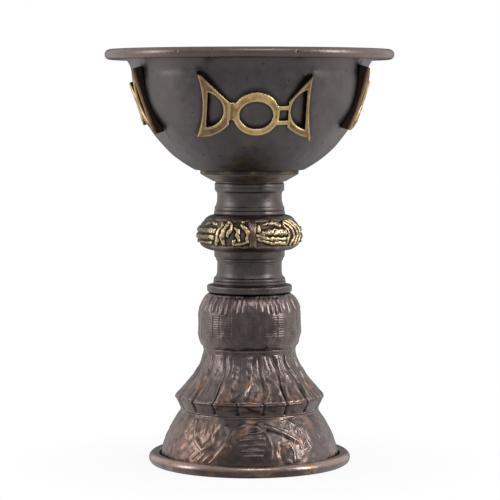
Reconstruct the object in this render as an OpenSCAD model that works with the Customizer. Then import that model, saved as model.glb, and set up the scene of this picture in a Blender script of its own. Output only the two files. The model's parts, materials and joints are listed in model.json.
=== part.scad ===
// Stemmed offering cup of the butter-lamp kind. A spun copper bowl with a rolled rim and four
// cast brass triple-moon badges screws onto a turned stem with a brass knop, and the stem is
// bolted to a hollow foot of three raised copper shells.
// Origin: centre of the circle that the foot stands on. +Z runs up the axis. Millimetres.

/* [Bowl] */
// Outer radius of the bowl's round wall
bowl_r = 34.1; // [33:0.1:35]
// Height of the bowl from its flat bottom to the top of the rim
bowl_h = 34.6; // [34:0.1:35]
// Depth of the round wall's centre below the top of the rim
bowl_centre_drop = 4.4; // [4:0.1:4.8]
// Thickness of the spun sheet
bowl_t = 1.0; // [0.8:0.1:1.2]
// Radius of the flare that turns the wall out into the rim, on its outer side
flare_r = 6.0; // [5:0.1:7]
// Radius of the rolled rim's section
rim_roll_r = 1.5; // [1.4:0.05:1.7]
// Radius of the disc that the bowl sits on
collar_r = 14.25; // [13.5:0.05:14.5]
// Radius of that disc at the stem
collar_foot_r = 10.6; // [10:0.1:11.5]
// Height of that disc
collar_h = 3.3; // [3:0.1:4]

/* [Badges] */
// Thickness of a badge
badge_t = 3.0; // [2.6:0.1:3.2]
// Height of the badge's ring above the bowl
badge_rise = 0.6; // [0.5:0.1:1]
// Radius to which a badge is bent from side to side: it is straight from top to bottom
badge_bend_r = 55; // [50:1:65]
// Outer radius of the ring in the middle
badge_ring_r = 6.5; // [6.2:0.1:6.7]
// Radius of the hole in that ring
badge_hole_r = 4.3; // [4.0:0.1:4.5]
// Half of a badge's width, at its horns
badge_reach = 16.1; // [15.8:0.1:16.4]
// Angle of each badge round the bowl, from +X: front, right, back, left
badge_azimuth = [-86.5, 2, 91, 182.6];
// Angle of each badge below the centre of the bowl's wall
badge_drop = [23.3, 17.5, 21, 18.5];
// Tilt of each badge in its own plane
badge_roll = [-1.6, 2.6, 0, -3];

/* [Stem] */
// Height of the upper stem
stem_upper_h = 9.4; // [9:0.1:10]
// Radius of the upper stem's bead
stem_upper_r = 10.1; // [9.8:0.05:10.5]
// Radius of the stem's two waists
waist_r = 9.4; // [9:0.05:9.8]
// Height of the knop
knop_h = 10.1; // [9.8:0.1:11]
// Radius of the knop
knop_r = 15.45; // [14.5:0.05:16]
// Height of the lower stem
stem_lower_h = 10.2; // [9.8:0.1:11]
// Radius of the lower stem's beads
stem_lower_r = 10.4; // [10:0.05:10.8]
// Thickness of the washer between the bowl's disc and the stem
washer_h = 0.4; // [0.3:0.1:0.6]

/* [Foot] */
// Height of the collar ring on top of the foot
foot_collar_h = 2.0; // [1.8:0.1:2.2]
// Radius of that ring
foot_collar_r = 12.4; // [12:0.05:12.6]
// Height of the bulb
bulb_h = 15.9; // [15.5:0.1:17]
// Radius of the bulb
bulb_r = 15.0; // [14.8:0.05:15.5]
// Height of the skirt
skirt_h = 18.2; // [17.5:0.1:19]
// Radius of the skirt's lip
skirt_r = 21.6; // [21:0.1:22]
// Height of the base
base_h = 15.9; // [15.5:0.1:16.5]
// Radius of the base's wall where it meets the floor
base_r = 26.05; // [25.8:0.05:26.3]
// Outer radius of the rolled edge that the foot stands on
foot_r = 29.3; // [29.1:0.05:29.5]
// Thickness of the foot's sheet
foot_t = 0.9; // [0.8:0.05:1]

/* [Fasteners] */
// Radius of the screw under the bowl
screw_r = 3.0; // [2.9:0.05:3.1]
// Length of that screw below the disc
screw_len = 6.6; // [6.4:0.1:6.8]
// Gap between that screw and its socket in the stem
screw_gap = 0.05; // [0.02:0.01:0.08]
// Radius of the tie rod
rod_r = 3.0; // [2.5:0.1:3.2]
// Width of the tie nut across its flats
nut_flats = 10; // [9:0.5:11]

/* [Hidden] */
$fn = 128;

COPPER = [0.30, 0.25, 0.24];
BRASS = [0.72, 0.58, 0.30];
STEEL = [0.62, 0.62, 0.62];

// Heights of the joints between the stacked pieces, from the floor up
skirt_z = base_h;
bulb_z = skirt_z + skirt_h;
foot_collar_z = bulb_z + bulb_h;
stem_lower_z = foot_collar_z + foot_collar_h;
knop_z = stem_lower_z + stem_lower_h;
stem_upper_z = knop_z + knop_h;
washer_z = stem_upper_z + stem_upper_h;
collar_z = washer_z + washer_h;
bowl_z = collar_z + collar_h;
rim_z = bowl_z + bowl_h;

// The bowl's wall is part of a ball about this height, and the flare starts at flare_z
ball_z = rim_z - bowl_centre_drop;
flare_z = rim_z - flare_r - bowl_t;
flare_x = sqrt(pow(bowl_r, 2) - pow(ball_z - flare_z, 2)) + flare_r;

// Wires lie loose by this much in their rolled edges
wire_gap = 0.02;
// Core of the stem, which carries the knop and enters the lower stem
spigot_r = 6.5;
spigot_len = 3.4;
// Depth of the socket that the bowl's screw enters, and of the tie rod's hole
socket_depth = 7.4;
rod_grip = 8;
// Height up to which the lapped joints of the foot reach into the piece above
lap_h = 1.6;

// Points on a circle about [cx, cz], from angle a0 to angle a1
function arc(cx, cz, r, a0, a1, n = 12) =
    [for (i = [0:n]) let (a = a0 + (a1 - a0) * i / n) [cx + r * cos(a), cz + r * sin(a)]];

// Points on a superellipse about [cx, cz]: power 2 is an ellipse, a lower power is leaner
function swell(cx, cz, a, b, power, t0, t1, n = 12) =
    [for (i = [0:n]) let (t = t0 + (t1 - t0) * i / n)
        [cx + a * sign(cos(t)) * pow(abs(cos(t)), 2 / power),
         cz + b * sign(sin(t)) * pow(abs(sin(t)), 2 / power)]];

// A curve from [r0, z0] to [r1, z1] that ends steeply, as a domed cone does
function dome(r0, z0, r1, z1, power = 1.7, n = 14) =
    [for (i = [0:n]) [r0 + (r1 - r0) * (1 - pow(1 - i / n, power)), z0 + (z1 - z0) * i / n]];

// A curve from [r0, z0] to [r1, z1] that starts steeply and flares out: power 1 is a line
function sweep(r0, z0, r1, z1, power, n = 12) =
    [for (i = [0:n]) [r0 + (r1 - r0) * pow(i / n, power), z0 + (z1 - z0) * i / n]];

function reversed(points) = [for (i = [len(points) - 1:-1:0]) points[i]];

module turned(points) {
    rotate_extrude() polygon(points);
}

module ring(z, h, r, bore) {
    translate([0, 0, z]) difference() {
        cylinder(h = h, r = r);
        translate([0, 0, -1]) cylinder(h = h + 2, r = bore);
    }
}

module wire(centre_r, z, r) {
    translate([0, 0, z]) rotate_extrude() translate([centre_r, 0]) circle(r = r, $fn = 32);
}

// Centre of the rolled rim's section
rim_x = flare_x + 0.2;
rim_roll_z = rim_z - rim_roll_r;
rim_wire_r = rim_roll_r - 0.7;

// Outer side of the flare, from the round wall to the rim
function flare_wall() = arc(flare_x, flare_z, flare_r, 176, 100, 10);

// Spun bowl: flat bottom, round wall, flare, and an edge rolled down and in round its wire
module bowl() {
    bottom = asin((bowl_z - ball_z) / bowl_r);
    top = asin((flare_z - ball_z) / bowl_r);
    inner_r = bowl_r - bowl_t;
    inner_bottom = asin((bowl_z + bowl_t - ball_z) / inner_r);
    inner_top = asin((flare_z - ball_z) / inner_r);
    color(COPPER) turned(concat(
        [[screw_r + 0.1, bowl_z]],
        arc(0, ball_z, bowl_r, bottom, top, 24),
        flare_wall(),
        arc(rim_x, rim_roll_z, rim_wire_r, 118, -140, 20),
        arc(rim_x, rim_roll_z, rim_roll_r, -140, 90, 20),
        arc(flare_x, flare_z, flare_r + bowl_t, 92, 176, 12),
        arc(0, ball_z, inner_r, inner_top, inner_bottom, 24),
        [[screw_r + 0.1, bowl_z + bowl_t]]));
}

module rim_wire() {
    color(COPPER) wire(rim_x, rim_roll_z, rim_wire_r - wire_gap);
}

// Disc under the bowl: a short rim and a cone down to the stem, clamped by the screw
module bowl_collar() {
    color(COPPER) turned([
        [screw_r, collar_z], [collar_foot_r, collar_z], [collar_r, bowl_z - 1.2],
        [collar_r, bowl_z], [screw_r, bowl_z]]);
}

// Slotted screw through the bowl's bottom, with a low domed head
module bowl_screw() {
    head_z = bowl_z + bowl_t + 0.8;
    color(BRASS) difference() {
        turned(concat(
            [[0, collar_z - screw_len], [screw_r - 0.4, collar_z - screw_len],
             [screw_r, collar_z - screw_len + 0.4], [screw_r, head_z], [6, head_z]],
            swell(0, head_z + 0.8, 6, 2.2, 2, 0, 90, 10)));
        translate([-7, -0.5, head_z + 1.6]) cube([14, 1, 3]);
    }
}

module bowl_screw_washer() {
    color(BRASS) ring(bowl_z + bowl_t, 0.8, 7.5, screw_r);
}

// Half of the badge's outline: a crescent with a half-round hole, its upper horn cut straight
// above. slim is 0 for the fuller crescent and 1 for the slimmer one.
module crescent_outline(slim) {
    hollow_r = 28.6 + 33 * slim;
    inner_x = 7.3 + 1.5 * slim;
    difference() {
        translate([badge_reach + 2.4 * slim, 1.7 + 3.3 * slim]) circle(r = 10.4 + 3.2 * slim);
        translate([badge_reach - 1.4 + hollow_r, 3 * slim - 0.6]) circle(r = hollow_r);
        translate([5, 0.55 - 1.7 * slim]) rotate(41 + 8 * slim) square([20, 10]);
        translate([0, -6]) square([inner_x, 12]);
        translate([10, 9.8 + 0.4 * slim]) square([10, 4]);
        intersection() {
            translate([badge_reach - 1.75 + 1.35 * slim, 0.7 * slim - 0.2])
                circle(r = 5.25 + 0.95 * slim);
            translate([0, -10]) square([badge_reach - 2.6 + 0.3 * slim, 20]);
        }
    }
}

// Triple-moon badge: a ring between two crescents, with a wide bridge on the left, and two bars and
// a thin tail on the right
module badge_outline() {
    ring_y = -0.4;
    difference() {
        union() {
            translate([0, ring_y]) circle(r = badge_ring_r);
            crescent_outline(1);
            mirror([1, 0]) crescent_outline(0);
            translate([-7.8, -2.6]) square([2.5, 5.3]);
            translate([5.6, 0.7]) square([4, 1.3]);
            translate([5.4, -3.7]) square([4, 1.3]);
            polygon([[14.7, -7.2], [15.45, -7.2], [15.6, -9.2], [15.1, -9.2]]);
        }
        translate([0, ring_y - 0.3]) circle(r = badge_hole_r);
    }
}

// Badge i of the four: bent less than the bowl, so that its ring is seated and its horns stand off,
// and cut away where a horn would run into the bowl's flare
module badge(i) {
    face_x = bowl_r + badge_rise;
    color(BRASS) difference() {
        translate([0, 0, ball_z])
            rotate([0, 0, badge_azimuth[i]])
            rotate([0, badge_drop[i], 0])
            rotate([badge_roll[i], 0, 0])
            difference() {
                intersection() {
                    translate([face_x - badge_bend_r, 0, 0])
                        rotate([0, 0, -25])
                        rotate_extrude(angle = 50)
                        translate([badge_bend_r - badge_t, -15])
                        square([badge_t, 30]);
                    translate([bowl_r - 9, 0, 0])
                        rotate([90, 0, 90])
                        linear_extrude(height = 14) badge_outline();
                }
                sphere(r = bowl_r);
            }
        turned(concat([[0, flare_z]], flare_wall(), [[0, rim_z]]));
    }
}

module badge_front() { badge(0); }
module badge_right() { badge(1); }
module badge_back() { badge(2); }
module badge_left() { badge(3); }

module seat_washer() {
    color(COPPER) ring(washer_z, washer_h, stem_upper_r - 0.2, screw_r + screw_gap);
}

// Upper stem: bead, waist and flare over the knop, with a socket above and a spigot below
module stem_upper() {
    bead_z = washer_z - 2.5;
    flare_top_z = stem_upper_z + 2.9;
    foot_z = knop_z - spigot_len;
    color(COPPER) turned([
        [rod_r, foot_z], [spigot_r, foot_z], [spigot_r, stem_upper_z],
        [stem_upper_r, stem_upper_z], [stem_upper_r + 0.3, stem_upper_z + 0.5],
        [stem_upper_r + 0.1, flare_top_z - 0.7], [waist_r, flare_top_z + 0.6],
        [waist_r, bead_z - 0.3], [stem_upper_r - 0.2, bead_z], [stem_upper_r, bead_z + 0.4],
        [stem_upper_r, washer_z - 0.3], [stem_upper_r - 0.2, washer_z],
        [screw_r + screw_gap, washer_z], [screw_r + screw_gap, washer_z - socket_depth],
        [0, washer_z - socket_depth], [0, foot_z + rod_grip], [rod_r, foot_z + rod_grip]]);
}

// Cast ring on the stem's spigot, fuller above its middle than below
module knop() {
    mid_z = knop_z + 4.3;
    neck_r = 10.6;
    color(BRASS) turned(concat(
        [[spigot_r, knop_z]],
        swell(neck_r, mid_z - 0.4, knop_r - neck_r, mid_z - 0.4 - knop_z, 2, -90, 0, 14),
        swell(neck_r, mid_z + 0.4, knop_r - neck_r, stem_upper_z - mid_z - 0.4, 1.7, 0, 90, 14),
        [[spigot_r, stem_upper_z]]));
}

// Lower stem: bead, waist and a double bead on the foot's collar
module stem_lower() {
    bead_r = stem_lower_r - 0.15;
    base_bead_z = stem_lower_z + 0.3;
    top_bead_z = knop_z - 2.2;
    color(COPPER) turned([
        [rod_r, stem_lower_z], [stem_lower_r - 0.3, stem_lower_z],
        [stem_lower_r - 0.3, base_bead_z], [stem_lower_r + 0.15, base_bead_z + 0.2],
        [stem_lower_r + 0.15, base_bead_z + 0.8], [stem_lower_r, base_bead_z + 1],
        [stem_lower_r, base_bead_z + 1.7], [waist_r + 0.3, base_bead_z + 2.4],
        [waist_r, base_bead_z + 3.2], [waist_r, top_bead_z - 0.8],
        [bead_r - 0.2, top_bead_z], [bead_r, top_bead_z + 0.4],
        [bead_r, knop_z], [spigot_r, knop_z],
        [spigot_r, knop_z - spigot_len], [rod_r, knop_z - spigot_len]]);
}

module foot_collar() {
    edge_r = 0.6;
    band_x = foot_collar_r - edge_r;
    color(COPPER) turned(concat(
        [[rod_r, foot_collar_z]],
        arc(band_x, foot_collar_z + edge_r, edge_r, -90, 0, 5),
        arc(band_x, stem_lower_z - edge_r, edge_r, 0, 90, 5),
        [[rod_r, stem_lower_z]]));
}

// Raised bulb, closed on top and open below
module foot_bulb() {
    neck_r = bulb_r - 1.45;
    shoulder_z = foot_collar_z - 6.5;
    waist_z = bulb_z + 4.2;
    shoulder_x = bulb_r - 4;
    color(COPPER) turned(concat(
        [[rod_r, foot_collar_z]],
        swell(shoulder_x, shoulder_z, 3.9, 6.5, 1.65, 90, 0, 14),
        [[bulb_r, shoulder_z - 2]],
        swell(neck_r, waist_z, 1.45, 4.1, 1.5, 0, -90, 10),
        [[neck_r, bulb_z], [neck_r - foot_t, bulb_z]],
        swell(neck_r - foot_t, waist_z, 1.45, 4.1, 1.5, -90, 0, 10),
        [[bulb_r - foot_t, shoulder_z - 2]],
        swell(shoulder_x, shoulder_z, 3.9 - foot_t, 6.5 - foot_t, 1.65, 0, 90, 14),
        [[rod_r, foot_collar_z - foot_t]]));
}

// Flared skirt: a short neck lapped into the bulb, a petal lip, and an under-band on the base
module foot_skirt() {
    neck_r = bulb_r - 1.5;
    lap_r = neck_r - foot_t;
    lip_z = skirt_z + 4;
    band_r = skirt_r - 1.6;
    top_z = bulb_z - 1.6;
    inner = sweep(neck_r - foot_t, top_z, skirt_r - foot_t - 0.3, lip_z - 0.4, 1.55, 14);
    color(COPPER) turned(concat(
        [[lap_r - foot_t, bulb_z + lap_h], [lap_r, bulb_z + lap_h], [lap_r, bulb_z],
         [neck_r, bulb_z]],
        sweep(neck_r, top_z, skirt_r, lip_z, 1.55, 14),
        [[skirt_r, lip_z - 0.9], [band_r + 0.7, skirt_z + 1.6], [band_r, skirt_z],
         [band_r - foot_t, skirt_z], [skirt_r - foot_t - 0.4, lip_z - 0.5]],
        reversed(inner)));
}

// Base: a domed cone lapped into the skirt, turned out flat on the floor and rolled round its wire
foot_roll_r = 1.75;
foot_roll_x = foot_r - foot_roll_r;
foot_wire_r = foot_roll_r - foot_t;

module foot_base() {
    top_r = skirt_r - 1.6;
    lap_r = top_r - foot_t;
    color(COPPER) turned(concat(
        [[lap_r - foot_t, base_h + lap_h], [lap_r, base_h + lap_h], [lap_r, base_h]],
        dome(top_r, base_h, base_r, 2),
        [[base_r + 0.1, foot_t + 0.3], [base_r + 0.4, foot_t]],
        arc(foot_roll_x, foot_roll_r, foot_wire_r, -90, 140, 18),
        arc(foot_roll_x, foot_roll_r, foot_roll_r, 140, -90, 18),
        [[base_r - 0.6, 0], [base_r - foot_t, 0.5]],
        reversed(dome(top_r - foot_t, base_h - 0.5, base_r - foot_t, 2)),
        [[lap_r - foot_t, base_h - 0.6]]));
}

module foot_rim_wire() {
    color(COPPER) wire(foot_roll_x, foot_roll_r, foot_wire_r - wire_gap);
}

// Tie rod from the stem's spigot down through the foot's top to its nut
backing_z = foot_collar_z - foot_t - 1.8;
tie_washer_z = backing_z - 1;
nut_z = tie_washer_z - 5;

module tie_rod() {
    top_z = knop_z - spigot_len + rod_grip;
    color(STEEL) turned([
        [0, nut_z - 2], [rod_r - 0.4, nut_z - 2], [rod_r, nut_z - 1.6],
        [rod_r, top_z], [0, top_z]]);
}

module backing_disc() {
    color(BRASS) ring(backing_z, 1.8, bulb_r - 5, rod_r);
}

module tie_washer() {
    color(STEEL) ring(tie_washer_z, 1, 7, rod_r);
}

module tie_nut() {
    color(STEEL) translate([0, 0, nut_z]) difference() {
        cylinder(h = 5, r = nut_flats / 2 / cos(30), $fn = 6);
        translate([0, 0, -1]) cylinder(h = 7, r = rod_r);
    }
}

bowl();
rim_wire();
bowl_collar();
bowl_screw();
bowl_screw_washer();
badge_front();
badge_right();
badge_back();
badge_left();
seat_washer();
stem_upper();
knop();
stem_lower();
foot_collar();
foot_bulb();
foot_skirt();
foot_base();
foot_rim_wire();
tie_rod();
backing_disc();
tie_washer();
tie_nut();
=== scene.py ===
import json
import math

import bmesh
import bpy
import numpy as np
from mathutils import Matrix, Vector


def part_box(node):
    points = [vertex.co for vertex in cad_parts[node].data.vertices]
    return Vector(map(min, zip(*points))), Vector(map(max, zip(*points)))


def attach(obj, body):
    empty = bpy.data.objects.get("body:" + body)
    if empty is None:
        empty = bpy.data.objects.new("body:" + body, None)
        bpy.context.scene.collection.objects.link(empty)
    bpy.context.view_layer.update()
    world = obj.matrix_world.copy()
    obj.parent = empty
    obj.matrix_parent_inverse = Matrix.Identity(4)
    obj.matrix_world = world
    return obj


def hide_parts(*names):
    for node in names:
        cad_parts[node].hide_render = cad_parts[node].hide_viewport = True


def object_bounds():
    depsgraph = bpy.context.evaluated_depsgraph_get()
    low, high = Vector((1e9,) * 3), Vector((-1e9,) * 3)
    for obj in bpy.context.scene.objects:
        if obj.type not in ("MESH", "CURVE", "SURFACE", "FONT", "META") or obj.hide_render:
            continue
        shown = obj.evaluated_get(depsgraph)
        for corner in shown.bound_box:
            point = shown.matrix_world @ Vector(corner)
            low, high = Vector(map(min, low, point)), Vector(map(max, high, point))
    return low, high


# Looks of a stemmed offering cup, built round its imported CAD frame. Shapes are in millimetres and
# degrees: an angle is measured round the axis from the front, to the right.
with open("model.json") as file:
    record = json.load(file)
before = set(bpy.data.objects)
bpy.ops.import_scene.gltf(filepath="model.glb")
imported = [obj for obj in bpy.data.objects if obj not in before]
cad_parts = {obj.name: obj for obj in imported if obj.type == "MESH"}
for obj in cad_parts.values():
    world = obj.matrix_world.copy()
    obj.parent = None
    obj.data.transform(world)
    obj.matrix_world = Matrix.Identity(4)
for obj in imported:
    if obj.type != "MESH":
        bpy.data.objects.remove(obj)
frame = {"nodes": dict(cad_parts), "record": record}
cad_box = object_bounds()
MM = 0.001
bodies = frame["record"]["behaviour"]["bodies"]
body_of = {node: body for body, nodes in bodies.items() for node in nodes}
slot_of = {part["node"]: part["material_slot"] for part in frame["record"]["subparts"]}


# ---- curves and surface patterns
def level(node, top=False):
    """Lowest or highest height of a CAD node."""
    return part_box(node)[1 if top else 0].z / MM


def reach(node):
    """Greatest radius of a round CAD node."""
    low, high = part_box(node)
    return max(high.x, -low.x) / MM


def arc(cx, cz, r, a0, a1, n=12):
    """Points on a circle about (cx, cz), from angle a0 to angle a1."""
    a = np.radians(np.linspace(a0, a1, n + 1))
    return np.stack([cx + r * np.cos(a), cz + r * np.sin(a)], 1)


def swell(cx, cz, a, b, power, t0, t1, n=24):
    """Points on a superellipse about (cx, cz): power 2 is an ellipse, a lower power is leaner."""
    t = np.radians(np.linspace(t0, t1, n + 1))
    c, s = np.cos(t), np.sin(t)
    return np.stack([cx + a * np.sign(c) * np.abs(c) ** (2 / power),
                     cz + b * np.sign(s) * np.abs(s) ** (2 / power)], 1)


def dome(r0, z0, r1, z1, power=1.7, n=30):
    """A curve from (r0, z0) to (r1, z1) that ends steeply, as a domed cone does."""
    t = np.linspace(0, 1, n + 1)
    return np.stack([r0 + (r1 - r0) * (1 - (1 - t) ** power), z0 + (z1 - z0) * t], 1)


def sweep(r0, z0, r1, z1, power):
    """A curve from (r0, z0) to (r1, z1) that starts steeply and flares out."""
    t = np.linspace(0, 1, 31)
    return np.stack([r0 + (r1 - r0) * t ** power, z0 + (z1 - z0) * t], 1)


def rounded(corners, radius=0.15, steps=4):
    """An open line through corners, the inner ones rounded. A corner's third number is its radius."""
    made = [np.array(corners[0][:2], float)]
    for before, corner, after in zip(corners, corners[1:], corners[2:]):
        p = np.array(corner[:2], float)
        into, out = np.array(before[:2]) - p, np.array(after[:2]) - p
        reach_in, reach_out = np.linalg.norm(into), np.linalg.norm(out)
        r = corner[2] if len(corner) > 2 else radius
        cut = min(r, 0.45 * reach_in, 0.45 * reach_out)
        a, b = p + into / reach_in * cut, p + out / reach_out * cut
        for t in np.linspace(0, 1, steps + 1):
            made.append(a * (1 - t) ** 2 + 2 * p * t * (1 - t) + b * t ** 2)
    made.append(np.array(corners[-1][:2], float))
    return np.array(made)


def densify(points, step):
    """The same line with no piece of it longer than step."""
    made = [points[0]]
    for a, b in zip(points, points[1:]):
        n = max(1, math.ceil(np.linalg.norm(b - a) / step - 1e-6))
        made += [a + (b - a) * i / n for i in range(1, n + 1)]
    return np.array(made)


def ramp(x, low, high):
    """Smooth step from 0 at low to 1 at high."""
    t = np.clip((x - low) / (high - low), 0, 1)
    return t * t * (3 - 2 * t)


def window(x, low, high, soft):
    """1 between low and high, with soft edges outside them."""
    return ramp(x, low - soft, low) * (1 - ramp(x, high, high + soft))


def hump(x, width):
    """1 at 0, falling to 0 at width to either side."""
    return np.clip(1 - (x / width) ** 2, 0, 1)


def wrap(angle, period=360.0):
    """Angle brought to between plus and minus half a period."""
    return (angle + period / 2) % period - period / 2


def wobble(angle, height, radius, size, seed, waves=20):
    """Smooth noise of about unit strength on a round surface, with features of about size."""
    rng = np.random.default_rng(seed)
    total = np.zeros(np.broadcast(angle, height).shape)
    for _ in range(waves):
        k = 2 * math.pi / size * rng.uniform(0.6, 1.5)
        way = rng.uniform(0, math.pi)
        lobes = round(k * math.cos(way) * radius)
        total = total + np.cos(lobes * np.radians(angle) + k * math.sin(way) * height
                               + rng.uniform(0, 2 * math.pi))
    return total * math.sqrt(2 / waves)


def stroke(angle, height, radius, points, width, period=360.0, taper=1.0, power=1.5):
    """A ridge of unit height along points, each (angle, height). It ends taper times as wide, and a
    lower power gives it a flatter top."""
    a0 = points[0][0]
    u = np.radians(wrap(angle - a0, period)) * radius
    best = np.zeros(u.shape)
    line = [(math.radians(a - a0), h) for a, h in points]
    count = len(line) - 1
    for i, ((a, ha), (b, hb)) in enumerate(zip(line, line[1:])):
        pu, qu = a * radius, b * radius
        du, dh = qu - pu, hb - ha
        t = np.clip(((u - pu) * du + (height - ha) * dh) / (du * du + dh * dh + 1e-9), 0, 1)
        d = np.hypot(u - pu - t * du, height - ha - t * dh)
        w = width * (1 + (taper - 1) * (i + t) / count)
        best = np.maximum(best, hump(d, w) ** power)
    return best


def strokes(draw, *rows):
    """A ridge for each row, made by draw(points, width, height). A row is the width, the height, and
    then the angle and height of each point."""
    return [draw(list(zip(row[2::2], row[3::2])), *row[:2]) for row in rows]


def blurred(field, passes):
    """Field smoothed, round the axis and along the profile."""
    for _ in range(passes):
        field = (np.roll(field, 1, 1) + 2 * field + np.roll(field, -1, 1)) / 4
        up = np.vstack([field[:1], field[:-1]])
        down = np.vstack([field[1:], field[-1:]])
        field = (up + 2 * field + down) / 4
    return field


# ---- meshes
def add_object(name, data):
    """An object in the scene that shows data."""
    made = bpy.data.objects.new(name, data)
    bpy.context.scene.collection.objects.link(made)
    return made


def finish_piece(mesh, node, material):
    """Makes the piece that stands for a CAD node, on the node's body, and hides the node."""
    body, slot = body_of[node], slot_of[node]
    piece = add_object(node + "_look", mesh)
    mesh.materials.append(material)
    piece.data.shade_smooth()
    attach(piece, body)
    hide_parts(node)


def add_attributes(mesh, values):
    """Numbers by point, for the materials."""
    for name, value in values.items():
        made = mesh.attributes.new(name, "FLOAT", "POINT")
        made.data.foreach_set("value", np.asarray(value, np.float32).ravel())


def lathe(node, material, runs, segments, relief=None, marks=None, rub_and_sheen=None, dark=None, fine=0.3):
    """A turned piece. runs are (points, step, side): side is 1 where the relief stands out, -1 on the
    back of a sheet that carries it, and 0 where there is none. A line from axis to axis is closed
    at its poles, and any other joins its own start. relief(angle, height, radius) is in mm, and fine
    is how far it stands out where it is wholly rubbed or dark. marks is where a stain is,
    rub_and_sheen is where the metal is rubbed and lit by a painted highlight, and dark is where it
    is darker besides the relief; the bowl and the foot's cone use dark for painted shade."""
    rows, sides = [], []
    for points, step, side in runs:
        line = densify(np.asarray(points, float), step)
        if rows and np.linalg.norm(rows[-1] - line[0]) < 1e-4:
            line = line[1:]
        rows += list(line)
        sides += [side] * len(line)
    rows, sides = np.array(rows), np.array(sides, float)
    poles = rows[0, 0] < 1e-6 and rows[-1, 0] < 1e-6
    if not poles and np.linalg.norm(rows[0] - rows[-1]) < 1e-4:
        rows, sides = rows[:-1], sides[:-1]
    before, after = np.roll(rows, 1, 0), np.roll(rows, -1, 0)
    turn = np.sign(np.sum(rows[:, 0] * after[:, 1] - after[:, 0] * rows[:, 1]))
    if poles:
        before[0], after[-1] = rows[0], rows[-1]
    tangent = after - before
    tangent /= np.maximum(np.linalg.norm(tangent, axis=1, keepdims=True), 1e-9)
    normal = np.stack([tangent[:, 1], -tangent[:, 0]], 1) * turn
    angle = np.linspace(0, 360, segments, endpoint=False)[None, :]
    r, z = (np.repeat(rows[:, i:i + 1], segments, 1) for i in (0, 1))
    run = np.concatenate([[0], np.cumsum(np.linalg.norm(np.diff(rows, axis=0), axis=1))])
    values = {"run": np.repeat(run[:, None], segments, 1)}
    if relief is not None:
        lift = relief(angle, z, r) * np.ones_like(r) * np.where(sides != 0, 1, 0)[:, None]
        lift *= np.where(sides < 0, -0.85, 1)[:, None]
        r = r + normal[:, :1] * lift
        z = z + normal[:, 1:] * lift
        outside = (sides > 0)[:, None]
        near = (lift - blurred(lift, 8)) * outside
        wide = (lift - blurred(lift, 60)) * outside
        detail = near + 0.5 * wide
        values["high"] = np.clip(detail / fine, 0, 1)
        values["deep_and_shade"] = np.clip(-detail / fine, 0, 1)
    if marks is not None:
        values["stain"] = marks(angle, z, r) * np.ones_like(r)
    # rub_and_sheen adds rubbing and painted highlight to high; dark adds darker tone and painted shade
    # to deep_and_shade
    for key, extra in (("high", rub_and_sheen), ("deep_and_shade", dark)):
        if extra is not None:
            values[key] = np.maximum(values.get(key, 0), extra(angle, z, r) * np.ones_like(r))
    way = np.radians(angle)
    points = np.stack([r * np.sin(way), -r * np.cos(way), z], 2).reshape(-1, 3)
    n = len(rows)
    i, j = np.meshgrid(np.arange(n - 1 if poles else n), np.arange(segments), indexing="ij")
    up, right = (i + 1) % n, (j + 1) % segments
    faces = np.stack([i * segments + j, i * segments + right,
                      up * segments + right, up * segments + j], 2).reshape(-1, 4)
    if turn < 0:
        faces = faces[:, ::-1]
    mesh = bpy.data.meshes.new(node)
    mesh.vertices.add(len(points))
    mesh.vertices.foreach_set("co", (points * MM).astype(np.float32).ravel())
    mesh.loops.add(faces.size)
    mesh.loops.foreach_set("vertex_index", faces.astype(np.int32).ravel())
    mesh.polygons.add(len(faces))
    mesh.polygons.foreach_set("loop_start", np.arange(0, faces.size, 4, dtype=np.int32))
    mesh.update(calc_edges=True)
    add_attributes(mesh, values)
    if poles:
        close_poles(mesh, segments, n)
    finish_piece(mesh, node, material)


def close_poles(mesh, segments, rows):
    """Merges the rows of points that lie on the axis, so that the ends are fans of triangles."""
    bm = bmesh.new()
    bm.from_mesh(mesh)
    bm.verts.ensure_lookup_table()
    ends = [bm.verts[i] for i in range(segments)]
    ends += [bm.verts[(rows - 1) * segments + i] for i in range(segments)]
    bmesh.ops.remove_doubles(bm, verts=ends, dist=1e-7)
    bm.to_mesh(mesh)
    bm.free()


# ---- materials
def add_node(tree, kind, inputs=(), **settings):
    """A shader node with its settings, and with its inputs set or linked."""
    made = tree.nodes.new("ShaderNode" + kind)
    for key, value in settings.items():
        setattr(made, key, value)
    for key, value in dict(inputs).items():
        if isinstance(value, bpy.types.NodeSocket):
            tree.links.new(value, made.inputs[key])
        else:
            made.inputs[key].default_value = value
    return made


def calc(tree, operation, a, b=0.0, clamp=False):
    return add_node(tree, "Math", {0: a, 1: b}, operation=operation, use_clamp=clamp).outputs[0]


def times(tree, a, b, clamp=False):
    return calc(tree, "MULTIPLY", a, b, clamp)


def spread(tree, value, low, high, out_low=0.0, out_high=1.0):
    """Value taken from low..high to out_low..out_high, clamped, with soft ends."""
    return add_node(tree, "MapRange", {
        "Value": value, "From Min": low, "From Max": high, "To Min": out_low, "To Max": out_high},
        interpolation_type="SMOOTHSTEP").outputs[0]


def blend_colour(tree, factor, a, b):
    """Colour a taken towards colour b. A colour is three numbers or an output of a node."""
    a, b = ((*colour, 1) if isinstance(colour, tuple) else colour for colour in (a, b))
    made = add_node(tree, "Mix", {0: factor, 6: a, 7: b}, data_type="RGBA", clamp_factor=True)
    return made.outputs[2]


def attribute(tree, name):
    return add_node(tree, "Attribute", attribute_name=name).outputs["Fac"]


def noise(tree, where, scale, detail=3.0, roughness=0.55):
    """Noise with features of about 1/scale metres."""
    return add_node(tree, "TexNoise", {"Vector": where, "Scale": scale, "Detail": detail,
                                       "Roughness": roughness}).outputs["Fac"]


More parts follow.
